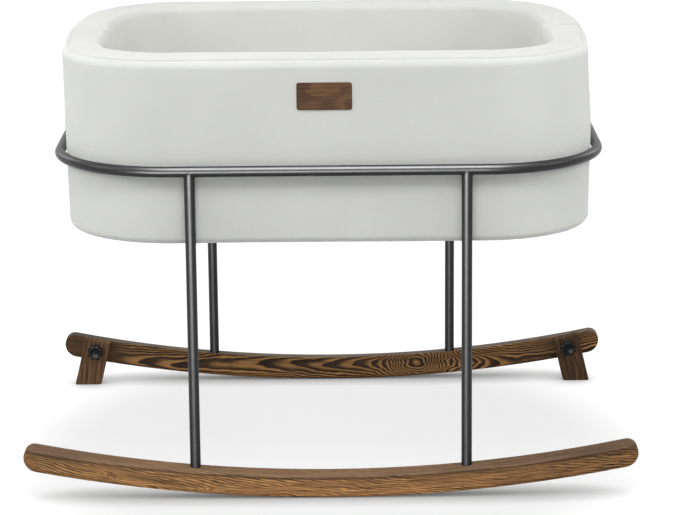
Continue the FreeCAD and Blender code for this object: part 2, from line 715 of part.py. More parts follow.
envelope = tray("Envelope", "0")
core = tray("Core", "cover_thickness")
board_slab = slab("BoardSlab", "basket_floor_height - overrun", "board_top")
keep(common("BaseBoard", core, board_slab), "base_board")
keep(cut("WallFoam", core, board_slab), "wall_foam")
floor_lining = keep(plate("FloorLining", "cavity_length", "cavity_width",
                          "inner_corner_radius", "board_top", "cover_thickness"), "floor_lining")
bottom_cover = keep(plate("BottomCover", "basket_bottom_length - 2 * cover_return",
                          "basket_bottom_width - 2 * cover_return",
                          "basket_corner_radius - cover_return", "basket_floor_height",
                          "cover_thickness"), "bottom_cover")

# The covers meet at a seam on the rim's outer rounding; the lining meets itself at both ends
skin = cut("Skin", envelope, core)
inner_zone = plate("InnerZone", "mid_wall_length", "mid_wall_width", "mid_wall_radius",
                   "board_top - base_thickness / 2", "basket_height")
rim_zone = slab("RimZone", "seam_height", "basket_top + overrun")
lining_zone = fuse("LiningZone", [inner_zone, rim_zone])
keep(cut("OuterCover", cut("OuterSkin", skin, lining_zone), bottom_cover), "outer_cover")
lining = cut("Lining", common("InnerSkin", skin, lining_zone), floor_lining)
rear_half = slab("RearHalf", "basket_floor_height - overrun", "basket_top + overrun", "0")
keep(cut("FrontLining", lining, rear_half), "rim_lining_front")
keep(common("RearLining", lining, rear_half), "rim_lining_rear")


# Badge: a bare plate on the slope of the basket's front
def badge():
    body = turn(new_body("Badge"), X_AXIS, "basket_wall_draft * 1 deg")
    place(body, "badge_offset", "-badge_face", "badge_centre_height")
    sketch = new_sketch(body, "BadgeOutline", "XZ_Plane")
    rounded_rectangle(sketch, "badge_length", "badge_height", "badge_corner_radius")
    feature(body, "Pad", "BadgePad", sketch, Length="badge_thickness")
    face = -number("badge_thickness")
    round_edges(body, "BadgeEasing", "badge_edge_radius",
                lambda edge: all(close(point.Y, face) for point in edge.Vertexes))
    return body


keep(badge(), "badge_plate")


# Mattress: a foam core in a cover whose seam runs round its lower edge
def mattress_body(name, inset):
    body = plate(name, f"mattress_length - 2 * {inset}", f"mattress_width - 2 * {inset}",
                 f"mattress_corner_radius - {inset}", f"mattress_bottom + {inset}",
                 f"mattress_thickness - 2 * {inset}")
    round_edges(body, name + "Edges", f"mattress_edge_radius - {inset}",
                lambda edge: close(edge.BoundBox.ZLength, 0))
    return body


mattress_form = mattress_body("MattressForm", "0")
mattress_core = keep(mattress_body("MattressCore", "cover_thickness"), "mattress_core")
mattress_skin = cut("MattressSkin", mattress_form, mattress_core)
seam_slab = slab("MattressSeamSlab", "mattress_bottom - overrun",
                 "mattress_bottom + mattress_edge_radius")
keep(cut("MattressCover", mattress_skin, seam_slab), "mattress_cover")
keep(common("MattressBase", mattress_skin, seam_slab), "mattress_base")

# Each object and sub-part is checked before anything is written
doc.recompute()
for item in doc.Objects:
    if {"Invalid", "Error"} & set(item.State):
        raise RuntimeError(f"{item.Name} did not build: {item.State}")
for item in nodes:
    if item.Shape.isNull() or not item.Shape.isValid():
        raise RuntimeError(f"{item.Label} has no valid shape")
os.makedirs("parts", exist_ok=True)
for item in nodes:
    item.Shape.exportStep(f"parts/{item.Label}.step")
    box = item.Shape.BoundBox
    print(f"{item.Label}: {len(item.Shape.Solids)} solid(s), {item.Shape.Volume:.0f} cubic mm,",
          f"X {box.XMin:.2f} to {box.XMax:.2f}, Y {box.YMin:.2f} to {box.YMax:.2f},",
          f"Z {box.ZMin:.2f} to {box.ZMax:.2f}")
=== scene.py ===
import math
import random

import bpy
import numpy as np
from mathutils import Matrix, Vector, noise


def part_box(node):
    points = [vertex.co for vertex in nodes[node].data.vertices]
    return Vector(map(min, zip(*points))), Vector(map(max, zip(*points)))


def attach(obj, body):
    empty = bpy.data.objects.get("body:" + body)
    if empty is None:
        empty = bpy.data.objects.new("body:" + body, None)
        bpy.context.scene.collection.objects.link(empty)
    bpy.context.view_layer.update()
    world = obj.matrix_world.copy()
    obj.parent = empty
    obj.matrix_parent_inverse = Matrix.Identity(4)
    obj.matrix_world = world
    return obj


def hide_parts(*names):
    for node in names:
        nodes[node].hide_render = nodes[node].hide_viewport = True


# A rocking cradle: a padded fabric basket in a steel ring on bent wooden rockers.
# Lengths are in metres, X to the right, Y to the back, Z up, with the floor at zero.

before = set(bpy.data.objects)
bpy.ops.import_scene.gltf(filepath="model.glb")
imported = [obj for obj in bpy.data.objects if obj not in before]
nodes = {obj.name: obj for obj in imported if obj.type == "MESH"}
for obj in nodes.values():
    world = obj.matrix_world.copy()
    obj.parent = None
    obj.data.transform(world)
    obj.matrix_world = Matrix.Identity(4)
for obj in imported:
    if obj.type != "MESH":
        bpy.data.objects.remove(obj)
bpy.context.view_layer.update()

LEFT, RIGHT = -1, 1
FRONT, REAR = -1, 1
SIDE_NAMES = {LEFT: "left", RIGHT: "right"}
END_NAMES = {FRONT: "front", REAR: "rear"}
CORNERS = [(side, end) for end in (FRONT, REAR) for side in (LEFT, RIGHT)]

# Photograph's frame and the camera fitted to it
PHOTO_WIDTH = 680
FOCAL_PIXELS = 2629.74
CAMERA_PLACE = (0.02296, -4.42573, 1.40470)
CAMERA_YAW, CAMERA_PITCH, CAMERA_ROLL = 0.0013, -0.2404, 0.0092
CENTRE_DROP_PIXELS = -2.556
SENSOR_MM = 36.0

# Lamps: name, place, point that they face, width, height and power in watts. The highlight
# lamps show only as reflections in gloss.
LAMPS = (
    ("lamp_over", (0.0, -1.65, 2.85), (0, 0, 0.4), 1.4, 0.9, 43.5),
    ("lamp_left", (-1.9, -0.7, 1.5), (0, 0, 0.5), 0.7, 0.9, 14.8),
    ("lamp_right", (1.9, -0.7, 1.5), (0, 0, 0.5), 0.7, 0.9, 12.3),
    ("lamp_rear_left", (-1.9, 1.3, 1.5), (0, 0, 0.6), 0.7, 0.9, 10.0),
    ("lamp_rear_right", (1.9, 1.3, 1.5), (0, 0, 0.6), 0.7, 0.9, 10.0),
)
HIGHLIGHT_LAMPS = (
    ("sky_highlight", (0.0, -1.25, 3.0), (0, -0.3, 0.6), 1.8, 2.2, 420.0),
    ("front_highlight", (-0.6, -3.0, 0.3), (0, -0.3, 0.3), 2.3, 0.5, 280.0),
)

# World's light, and the floor's reach and its greys for scattered light and for the picture
WORLD_LIGHT = 0.42
FLOOR_REACH, FLOOR_MATT, FLOOR_PALE = 16.0, 0.65, 0.14

# Floor's painted shadows: a round grey field under the cradle, and darker where something is close
SHADOW_FIELD_CENTRE_Y, SHADOW_FIELD_INNER, SHADOW_FIELD_OUTER, SHADOW_FIELD_DEPTH = -0.10, 0.42, 0.66, 0.25
CONTACT_SHADOW_REACH, CONTACT_SHADOW_POWER, CONTACT_SHADOW_DEPTH = 0.05, 1.3, 0.85

# Basket's form, as in the part's source
FLOOR_Z, TOP_Z = 0.420, 0.718
SEAM_Z = TOP_Z - 0.003
LINING_TOP_Z = 0.435
TOP_HALF = (0.4345, 0.3285)
WALL_SLOPE = math.tan(math.radians(1.05))
END_WALL, SIDE_WALL = 0.063, 0.074
OUTER_CORNER, INNER_CORNER = 0.178, 0.120
RIM_OUTER, RIM_INNER, BASE_EDGE = 0.016, 0.010, 0.010
COVER, COVER_RETURN = 0.0015, 0.025
SEAM_ANGLE = math.asin((SEAM_Z - (TOP_Z - RIM_OUTER)) / RIM_OUTER)

# Basket's covers: points round the outline, and rows over each part of the section
LONG_STEPS, SHORT_STEPS, ARC_STEPS = 44, 24, 26
OUTER_RIM_ROWS, OUTER_WALL_ROWS, BASE_ROWS, RETURN_ROWS = 15, 34, 9, 5
LINING_RIM_ROWS, CROWN_ROWS, INNER_RIM_ROWS, LINING_WALL_ROWS = 9, 12, 10, 26
SHEET_SHARES = (1.0, 0.997, 0.985, 0.96, *np.linspace(0.92, 0.06, 16))
SHEET_RISE = (0.0, 0.3, 0.7)

# Basket's covers: crown of the rim, seams, puckers and slow waves
RIM_CROWN = 0.0012
SEAM_DEPTH, SEAM_SPREAD, SEAM_THREAD, THREAD_RIPPLE = 0.0024, 0.0015, 0.0011, 0.05
SEAM_FADE_Z, SEAM_FADE = 0.690, 0.02
PUCKER, PUCKER_REACH, PUCKER_TURNS = 0.0004, 0.014, range(90, 260, 13)
WALL_WAVE, WALL_WAVE_SIZE, WALL_WAVE_START = 0.0005, 0.11, 0.03
SHEET_WAVE_SIZE = 0.08
LINING_GAP = 0.0003

# How far the padded top has settled outwards, in millimetres, by the angle in degrees from the
# middle of an end towards the rear. The walls below SETTLE_LOW keep the solid's form.
SETTLE_LOW, SETTLE_BLUR = 0.56, 3
LEAN = 0.0035
SETTLED_OUTER = ((-90, 0), (-45, -2.0), (-27, -4.5), (-20, -5.0), (-12, -0.5), (-4, 3.0),
                 (4, 3.0), (12, 0.0), (20, -8.3), (27, -13.5), (35, -11.7), (45, -8.7),
                 (60, -7.8), (90, -7.2))
SETTLED_INNER = ((-90, 0), (-50, -4), (-30, 0), (-10, -4.5), (10, -4), (25, -19), (35, -12),
                 (50, -7), (90, -1))

# Mattress: how far the pad starts inside its core, its rounding and its swelling
PAD_INSET, PAD_DROP, PAD_EDGE, PAD_EDGE_ROWS = 0.006, 0.008, 0.014, 6
PAD_CORNER = INNER_CORNER - 0.004
PAD_VOXEL, PAD_PRESSURE, PAD_FRAMES, PAD_LIMIT = 0.008, 4.0, 20, 0.010

# Knobs: radius and depth of the profile from the clamped face outwards, and the lobes
KNOB_LOBES, KNOB_STEPS = 8, 144
LOBE_GROOVE, LOBE_BITE, LOBE_BLEND = 0.004, 0.0024, 0.0007
LOBED_DEPTH, LOBED_RADIUS, LOBED_SPREAD = 0.003, 0.0095, 0.004
KNOB_PROFILE = (
    (0.0042, 0.0), (0.0088, 0.0), (0.0090, 0.0004), (0.0090, 0.0030), (0.0125, 0.0031),
    (0.0132, 0.0034), (0.0146, 0.0048), (0.0150, 0.0055), (0.0150, 0.0085), (0.0149, 0.0105),
    (0.0145, 0.0121), (0.0137, 0.0132), (0.0126, 0.0138), (0.0112, 0.0140), (0.0092, 0.0139),
    (0.0078, 0.0138), (0.0072, 0.0134), (0.0070, 0.0127), (0.0068, 0.0119), (0.0062, 0.0116),
    (0.0040, 0.0115), (0.0015, 0.0115),
)

# Frame's tubes and their weld beads
TUBE, CROSSBAR = 0.0172, 0.0135
BEAD, BEAD_RIPPLE, BEAD_SIDES, BEAD_STANDOFF = 0.0015, 0.16, 8, 0.0004
RING_WELD_STEPS, BAR_WELD_STEPS = 54, 27

# How far from a leg's ends the points lie that give its middle line
LEG_END = 0.004

# Woods: the rockers' bend, and how many features a metre holds along X, Y and Z
ROCKER_RADIUS = 2.470
WAVER_SCALE, PATCH_SCALE, STAIN_SCALE = (22, 60, 95), (8, 34, 48), (5, 22, 30)
FIBRE_SCALE, PORE_SCALE = (13, 310, 310), (30, 900, 900)
FIBRE_STRENGTH = 1.8
WOOD_ROUGH, WOOD_ROUGH_SPAN = 0.60, 0.12

# Rockers' tops: the heights between which the side darkens, the painted edge shade rises and
# falls and the painted sheen on the top begins, and how strongly they show
SIDE_DARKENS, SIDE_LOW, SIDE_HIGH = (0.004, 0.030), 1.10, 0.84
EDGE_SHADE_RISES, EDGE_SHADE_FALLS = (0.0300, 0.0335), (0.0365, 0.0340)
EDGE_SHADE_STRENGTH, BAND_EDGE_SHADE_STRENGTH = 0.7, 0.35
SHEEN_RISES, SHEEN_STRENGTH, SHEEN_FIBRES, SHEEN_BLUR = (0.0335, 0.0375), 0.85, 0.6, 0.004

# Badge's cut edge
BURNT_DEPTH, BURNT_STRENGTH = 0.0022, 0.75


def srgb(red, green, blue):
    """A colour written as 0 to 255, in the linear values that shaders take."""
    def linear(value):
        share = value / 255
        return share / 12.92 if share <= 0.04045 else ((share + 0.055) / 1.055) ** 2.4
    return linear(red), linear(green), linear(blue), 1.0


def grey(value):
    return value, value, value, 1.0


# Camera

def add_camera():
    camera = bpy.data.cameras.new("Camera")
    camera.sensor_width = SENSOR_MM
    camera.lens = FOCAL_PIXELS * SENSOR_MM / PHOTO_WIDTH
    camera.shift_y = CENTRE_DROP_PIXELS / PHOTO_WIDTH
    turn = (Matrix.Rotation(CAMERA_YAW, 4, "Z") @ Matrix.Rotation(CAMERA_PITCH, 4, "X")
            @ Matrix.Rotation(CAMERA_ROLL, 4, "Y") @ Matrix.Rotation(math.radians(90), 4, "X"))
    item = bpy.data.objects.new("Camera", camera)
    item.matrix_world = Matrix.Translation(CAMERA_PLACE) @ turn
    bpy.context.scene.collection.objects.link(item)
    bpy.context.scene.camera = item


# Shader nodes

def add_node(tree, kind, inputs=None, **settings):
    """Add a shader node, set its options, and give its inputs values or links."""
    node = tree.nodes.new("ShaderNode" + kind)
    for name, value in settings.items():
        setattr(node, name, value)
    for name, value in (inputs or {}).items():
        if isinstance(value, bpy.types.NodeSocket):
            tree.links.new(value, node.inputs[name])
        else:
            node.inputs[name].default_value = value
    return node


def add_math(tree, operation, first, second=0.0, third=0.0):
    node = add_node(tree, "Math", {0: first, 1: second, 2: third}, operation=operation)
    return node.outputs[0]


def add_noise(tree, vector, scale=1.0, detail=3.0, roughness=0.55):
    inputs = {"Vector": vector, "Scale": scale, "Detail": detail, "Roughness": roughness}
    return add_node(tree, "TexNoise", inputs).outputs["Fac"]


def add_ramp(tree, factor, stops, interpolation="LINEAR"):
    """A colour ramp through (position, colour) stops."""
    node = add_node(tree, "ValToRGB", {"Fac": factor})
    band = node.color_ramp
    band.interpolation = interpolation
    while len(band.elements) < len(stops):
        band.elements.new(0.5)
    for element, (position, colour) in zip(band.elements, stops):
        element.position = position
        element.color = colour
    return node.outputs["Color"]


def grey_ramp(tree, factor, stops, interpolation="LINEAR"):
    """A ramp through (position, value) stops."""
    stops = [(position, grey(value)) for position, value in stops]
    return add_ramp(tree, factor, stops, interpolation)


def stretched(tree, vector, x, y, z):
    """Coordinates scaled along each axis."""
    node = add_node(tree, "VectorMath", {0: vector, 1: (x, y, z)}, operation="MULTIPLY")
    return node.outputs["Vector"]


def shifted(tree, vector, shift):
    """Coordinates moved by a shift."""
    return add_node(tree, "VectorMath", {0: vector, 1: shift}, operation="ADD").outputs["Vector"]


def separated(tree, vector):
    """The X, Y and Z outputs of a vector."""
    return add_node(tree, "SeparateXYZ", {"Vector": vector}).outputs


def mixed(tree, factor, first, second, blend="MIX"):
    inputs = {"Fac": factor, "Color1": first, "Color2": second}
    return add_node(tree, "MixRGB", inputs, blend_type=blend).outputs["Color"]


def add_bump(tree, height, strength, distance, normal=None):
    inputs = {"Height": height, "Strength": strength, "Distance": distance}
    if normal is not None:
        inputs["Normal"] = normal
    return add_node(tree, "Bump", inputs).outputs["Normal"]


def smooth_step(tree, value, low, high):
    """0 below low, 1 above high, and a smooth rise between; it falls where low is above high."""
    inputs = {"Value": value, "From Min": low, "From Max": high}
    return add_node(tree, "MapRange", inputs, interpolation_type="SMOOTHSTEP").outputs["Result"]


def squares_sum(tree, first, second):
    return add_math(tree, "MULTIPLY_ADD", first, first, add_math(tree, "MULTIPLY", second, second))


def new_material(name, **sockets):
    """A material with one Principled shader; underscores in a socket's name stand for spaces."""
    material = bpy.data.materials.new(name)
    material.use_nodes = True
    tree = material.node_tree
    shader = tree.nodes["Principled BSDF"]
    for socket, value in sockets.items():
        shader.inputs[socket.replace("_", " ")].default_value = value
    place = add_node(tree, "TexCoord").outputs["Object"]
    return material, tree, shader, place


def connect(tree, shader, colour, roughness, normal):
    for socket, value in (("Base Color", colour), ("Roughness", roughness), ("Normal", normal)):
        tree.links.new(value, shader.inputs[socket])


# Metal and plastic

def powder_coat():
    """Satin powder coat: almost black, with a fine orange-peel surface."""
    material, tree, shader, place = new_material("powder_coat", Specular_IOR_Level=0.28)
    speckle = add_noise(tree, place, scale=900.0, detail=2.0)
    colour = add_ramp(tree, speckle, [(0.3, srgb(13, 13, 15)), (0.7, srgb(19, 19, 21))])
    patches = add_noise(tree, place, scale=18.0, detail=2.0)
    roughness = grey_ramp(tree, patches, [(0.3, 0.34), (0.7, 0.40)])
    peel = add_noise(tree, place, scale=650.0, detail=2.0)
    normal = add_bump(tree, peel, strength=0.03, distance=0.0003)
    connect(tree, shader, colour, roughness, normal)
    return material


def bare_metal(name, colour, rough):
    """Turned metal with fine scratches."""
    material, tree, shader, place = new_material(name, Metallic=1.0)
    scratches = add_noise(tree, stretched(tree, place, 900, 120, 900), detail=4.0)
    dark = tuple(part * 0.8 for part in colour[:3]) + (1.0,)
    tint = add_ramp(tree, scratches, [(0.3, dark), (0.7, colour)])
    roughness = grey_ramp(tree, scratches, [(0.3, rough), (0.8, rough + 0.12)])
    normal = add_bump(tree, scratches, strength=0.15, distance=0.0002)
    connect(tree, shader, tint, roughness, normal)
    return material


def gloss_plastic():
    """Moulded black plastic with a soft sheen and faint flow marks."""
    material, tree, shader, place = new_material("knob_black", Specular_IOR_Level=0.09)
    marks = add_noise(tree, place, scale=120.0, detail=2.0)
    colour = add_ramp(tree, marks, [(0.35, srgb(6, 7, 9)), (0.7, srgb(11, 12, 16))])
    roughness = grey_ramp(tree, marks, [(0.3, 0.24), (0.7, 0.30)])
    normal = add_bump(tree, marks, strength=0.03, distance=0.0002)
    connect(tree, shader, colour, roughness, normal)
    return material


# Wood: a figure counts the growth rings at a point, and the rest of the look follows from it

def curve_through(tree, value, points):
    """A smooth curve through (place, height) points, from the first place to the last."""
    low, high = points[0][0], points[-1][0]
    bottom, top = min(height for _, height in points), max(height for _, height in points)
    share = add_math(tree, "MULTIPLY_ADD", value, 1 / (high - low), -low / (high - low))
    stops = [((place - low) / (high - low), (height - bottom) / (top - bottom))
             for place, height in points]
    curve = grey_ramp(tree, share, stops, "B_SPLINE")
    return add_math(tree, "MULTIPLY_ADD", curve, top - bottom, bottom)


def hill(tree, x, z, place, spread, height):
    """A smooth hill of a height at a place, which bends the rings round it into an eye."""
    off_x = add_math(tree, "MULTIPLY_ADD", x, 1 / spread[0], -place[0] / spread[0])
    off_z = add_math(tree, "MULTIPLY_ADD", z, 1 / spread[1], -place[1] / spread[1])
    reach = squares_sum(tree, off_x, off_z)
    fall = add_math(tree, "EXPONENT", add_math(tree, "MULTIPLY", reach, -1.0))
    return add_math(tree, "MULTIPLY", fall, height)


def warped(tree, grain, x, z, reach, scale):
    """x and z moved a little by slow noise, so that a figure drawn with them isn't regular."""
    inputs = {"Vector": stretched(tree, grain, *scale), "Scale": 1.0, "Detail": 2.0,
              "Roughness": 0.5}
    parts = separated(tree, add_node(tree, "TexNoise", inputs).outputs["Color"])
    back_x = add_math(tree, "ADD", x, -reach[0] / 2)
    back_z = add_math(tree, "ADD", z, -reach[1] / 2)
    return (add_math(tree, "MULTIPLY_ADD", parts["X"], reach[0], back_x),
            add_math(tree, "MULTIPLY_ADD", parts["Z"], reach[1], back_z))


def log_rings(heart, ring, wander):
    """Rings round a log's heart, which runs along the board at (y, z) and strays a little."""
    def figure(tree, grain, x, y, z):
        def off_heart(value, middle, seed, scale, amount):
            moved = shifted(tree, stretched(tree, grain, scale, scale * 2, scale * 2), (seed,) * 3)
            stray = add_math(tree, "SUBTRACT", add_noise(tree, moved, roughness=0.6), 0.5)
            off = add_math(tree, "SUBTRACT", value, middle)
            return add_math(tree, "MULTIPLY_ADD", stray, amount, off)

        off_y = off_heart(y, heart[0], seed=3.1, scale=3.2, amount=wander * 4)
        off_z = off_heart(z, heart[1], seed=8.7, scale=4.1, amount=wander * 2)
        across = add_math(tree, "SQRT", squares_sum(tree, off_y, off_z))
        return add_math(tree, "DIVIDE", across, ring)
    return figure


def arched_rings(tree, grain, x, y, z):
    """The rear rocker's bold figure: arches that point left, an eye, then long lines."""
    x, z = warped(tree, grain, x, z, reach=(0.036, 0.012), scale=(17, 40, 48))
    along = curve_through(tree, x, [
        (-0.50, 0.0), (-0.40, -0.1), (-0.34, -1.0), (-0.29, -2.1), (-0.18, -2.3), (-0.113, -3.2),
        (-0.047, -4.2), (0.013, -5.2), (0.068, -6.3), (0.11, -6.8), (0.20, -5.6), (0.26, -3.0),
        (0.30, -1.0), (0.34, -0.3), (0.50, 0.0)])
    axis = curve_through(tree, x, [
        (-0.50, 0.012), (-0.30, 0.012), (-0.20, 0.026), (-0.10, 0.031), (0.08, 0.030),
        (0.162, 0.026), (0.24, 0.019), (0.32, 0.006), (0.50, 0.002)])
    off = add_math(tree, "SUBTRACT", z, axis)
    rings = add_math(tree, "MULTIPLY_ADD", add_math(tree, "MULTIPLY", off, off), 5000.0, along)
    eye = hill(tree, x, z, place=(0.162, 0.026), spread=(0.047, 0.085), height=-9.4)
    return add_math(tree, "MULTIPLY_ADD", y, 55.0, add_math(tree, "ADD", rings, eye))


def slanted_rings(tree, grain, x, y, z):
    """The front rocker's fine lines, which run down to the right, with a knot and small loops."""
    x, z = warped(tree, grain, x, z, reach=(0.030, 0.010), scale=(18, 60, 70))
    slant = add_math(tree, "MULTIPLY_ADD", x, 0.15, z)
    rings = add_math(tree, "MULTIPLY", slant, 1 / 0.0042)
    knot = hill(tree, x, z, place=(-0.363, 0.013), spread=(0.014, 0.007), height=3.2)
    loops = hill(tree, x, z, place=(-0.185, 0.005), spread=(0.022, 0.007), height=2.6)
    rings = add_math(tree, "ADD", add_math(tree, "ADD", rings, knot), loops)
    return add_math(tree, "MULTIPLY_ADD", y, 70.0, rings)


def ring_bands(tree, grain, rings, ripple, late):
    """Lightness across each ring, from pale early wood to a dark late share of it."""
    waver = add_noise(tree, stretched(tree, grain, *WAVER_SCALE), roughness=0.6)
    waver = add_math(tree, "SUBTRACT", waver, 0.5)
    rings = add_math(tree, "MULTIPLY_ADD", waver, ripple * 2, rings)
    return grey_ramp(tree, add_math(tree, "FRACT", rings), [
        (0.0, 0.7), (0.06, 1.0), (0.70 - late, 0.9), (0.84 - late, 0.5), (1.0 - late, 0.06),
        (0.95, 0.0), (1.0, 0.6)])


def top_shade_and_sheen(tree, colour, dark, crown, fibre_shade, y, height, sheen_from):
    """A rocker's side darkens upwards, to a painted shade along its rounded edge and then a
    painted sheen: the top greyer, as if the bright room reflected in it.
    """
    upwards = smooth_step(tree, height, *SIDE_DARKENS)
    lightness = grey_ramp(tree, upwards, [(0.0, SIDE_LOW), (1.0, SIDE_HIGH)])
    colour = mixed(tree, 1.0, colour, lightness, "MULTIPLY")
    # Painted sheen on the top, and painted shade along the rounded edge below it
    top = smooth_step(tree, height, *SHEEN_RISES)
    edge = add_math(tree, "MULTIPLY", smooth_step(tree, height, *EDGE_SHADE_RISES),
                    smooth_step(tree, height, *EDGE_SHADE_FALLS))
    edge_shade_strength = EDGE_SHADE_STRENGTH
    if sheen_from is not None:
        behind = smooth_step(tree, y, sheen_from - SHEEN_BLUR, sheen_from + SHEEN_BLUR)
        top = add_math(tree, "MULTIPLY", top, behind)
        edge_shade_strength = BAND_EDGE_SHADE_STRENGTH
    sheen_top = mixed(tree, SHEEN_FIBRES, crown, fibre_shade, "MULTIPLY")
    colour = mixed(tree, add_math(tree, "MULTIPLY", edge, edge_shade_strength), colour, dark)
    return mixed(tree, add_math(tree, "MULTIPLY", top, SHEEN_STRENGTH), colour, sheen_top)


def burnt_edges(tree, colour, dark, place, box):
    """Darken a plate near the edges of its box, which a laser has cut."""
    low, high = box
    centre, half = (low + high) / 2, (high - low) / 2
    edges = []
    for value, middle, reach in ((place["X"], centre.x, half.x), (place["Z"], centre.z, half.z)):
        off = add_math(tree, "ABSOLUTE", add_math(tree, "SUBTRACT", value, middle))
        edges.append(smooth_step(tree, off, reach - BURNT_DEPTH, reach))
    edge = add_math(tree, "MULTIPLY", add_math(tree, "MAXIMUM", *edges), BURNT_STRENGTH)
    return mixed(tree, edge, colour, dark)


def wood(name, dark, middle, light, figure, spread=1.0, streak=0.35, tilt=0.0, curved=0.0,
         ripple=0.3, crown=None, late=0.38, patchy=0.3, calm=None, shade=None, burnt=None,
         sheen_from=None):
    """Stained open-pored wood.

    figure counts the growth rings at a point, spread is how strongly they show and streak how
    strongly the fibres and pores show. tilt turns the grain about Y, curved is how much of the
    rockers' bend it follows, ripple how many rings it wavers by, late the dark share of a ring,
    patchy how much the rings fade in places, calm the places along X between which they fade
    out, crown the greyer colour of a painted sheen on a rocker's top, shade the lightness at
    places along X, and burnt the box whose cut edges are darker. The painted sheen covers the
    top from a place along Y to the back, where one is given, or all of it, with a painted shade
    along the rounded edge below.
    """
    material, tree, shader, place = new_material(name, Specular_IOR_Level=0.06)
    turned = add_node(tree, "VectorRotate", {"Vector": place, "Angle": tilt},
                      rotation_type="Y_AXIS")
    parts = separated(tree, turned.outputs["Vector"])
    x, y = parts["X"], parts["Y"]
    rise = add_math(tree, "MULTIPLY", add_math(tree, "MULTIPLY", x, x), 0.5 / ROCKER_RADIUS)
    height = add_math(tree, "SUBTRACT", parts["Z"], rise)
    z = add_math(tree, "MULTIPLY_ADD", rise, -curved, parts["Z"])
    grain = add_node(tree, "CombineXYZ", {"X": x, "Y": y, "Z": z}).outputs["Vector"]

    band = ring_bands(tree, grain, figure(tree, grain, x, y, z), ripple, late)
    if calm is not None:
        band = mixed(tree, smooth_step(tree, x, *calm), band, grey(0.3))
    patches = add_noise(tree, stretched(tree, grain, *PATCH_SCALE), detail=2.0, roughness=0.5)
    patches = grey_ramp(tree, patches, [(0.40, spread * (1 - patchy)), (0.58, spread)])
    ring_dark = mixed(tree, patches, middle, dark)
    ring_light = mixed(tree, patches, middle, light)
    colour = mixed(tree, band, ring_dark, ring_light)

    fibres = add_noise(tree, stretched(tree, grain, *FIBRE_SCALE), detail=4.0, roughness=0.68)
    fibre_shade = grey_ramp(tree, fibres, [(0.34, 0.36), (0.46, 0.82), (0.55, 1.06), (0.68, 1.5)])
    colour = mixed(tree, min(1.0, streak * FIBRE_STRENGTH), colour, fibre_shade, "MULTIPLY")
    pores = add_noise(tree, stretched(tree, grain, *PORE_SCALE), detail=2.0, roughness=0.5)
    pore_mask = grey_ramp(tree, pores, [(0.56, 0.0), (0.66, 1.0)])
    colour = mixed(tree, add_math(tree, "MULTIPLY", pore_mask, streak), colour, dark)
    stain = add_noise(tree, stretched(tree, grain, *STAIN_SCALE), detail=2.0, roughness=0.5)
    stain_shade = grey_ramp(tree, stain, [(0.3, 0.80), (0.7, 1.16)])
    colour = mixed(tree, 1.0, colour, stain_shade, "MULTIPLY")

    # Painted shade along a rocker's rounded edge, and a painted sheen on its top
    if crown is not None:
        colour = top_shade_and_sheen(tree, colour, dark, crown, fibre_shade, y, height, sheen_from)
    if shade is not None:
        along = add_math(tree, "ADD", x, 0.5)
        stops = [(place_x + 0.5, lightness) for place_x, lightness in shade]
        shade_ramp = grey_ramp(tree, along, stops, "B_SPLINE")
        colour = mixed(tree, 1.0, colour, shade_ramp, "MULTIPLY")
    if burnt is not None:
        colour = burnt_edges(tree, colour, dark, parts, burnt)

    roughness = grey_ramp(tree, fibres, [(0.3, WOOD_ROUGH + WOOD_ROUGH_SPAN), (0.7, WOOD_ROUGH)])
    normal = add_bump(tree, fibres, strength=0.18, distance=0.0004)
    normal = add_bump(tree, pores, strength=0.10, distance=0.0003, normal=normal)
    connect(tree, shader, colour, roughness, normal)
    return material


# Cloth

def cloth(name, dark, light, thread):
    """Cloth woven of threads of a width, with faint slubs and slow shading."""
    material, tree, shader, place = new_material(
        name, Sheen_Weight=0.25, Sheen_Roughness=0.45, Specular_IOR_Level=0.0)
    parts = separated(tree, place)
    wave = 2 * math.pi / thread
    across = add_math(tree, "ADD", parts["X"], parts["Y"])
    warp = add_math(tree, "SINE", add_math(tree, "MULTIPLY", across, wave))
    weft = add_math(tree, "SINE", add_math(tree, "MULTIPLY", parts["Z"], wave))
    weave = add_math(tree, "MULTIPLY_ADD", add_math(tree, "MULTIPLY", warp, weft), 0.5, 0.5)
    slubs = add_noise(tree, place, scale=520.0)
    clouds = add_noise(tree, place, scale=7.0)
    colour = add_ramp(tree, clouds, [(0.3, dark), (0.7, light)])
    slub_shade = grey_ramp(tree, slubs, [(0.35, 0.4), (0.65, 1.0)])
    colour = mixed(tree, 0.05, colour, slub_shade, "MULTIPLY")
    normal = add_bump(tree, weave, strength=0.10, distance=0.0003)
    normal = add_bump(tree, slubs, strength=0.10, distance=0.0003, normal=normal)
    normal = add_bump(tree, clouds, strength=0.08, distance=0.004, normal=normal)
    roughness = grey_ramp(tree, slubs, [(0.3, 0.75), (0.7, 0.85)])
    connect(tree, shader, colour, roughness, normal)
    return material


# Floor, world and lamps

def seen_directly(tree):
    """1 for rays that show a surface itself, and 0 for rays that carry its light elsewhere."""
    path = add_node(tree, "LightPath").outputs
    seen = add_math(tree, "MAXIMUM", path["Is Camera Ray"], path["Is Glossy Ray"])
    return add_math(tree, "MAXIMUM", seen, path["Is Transmission Ray"])


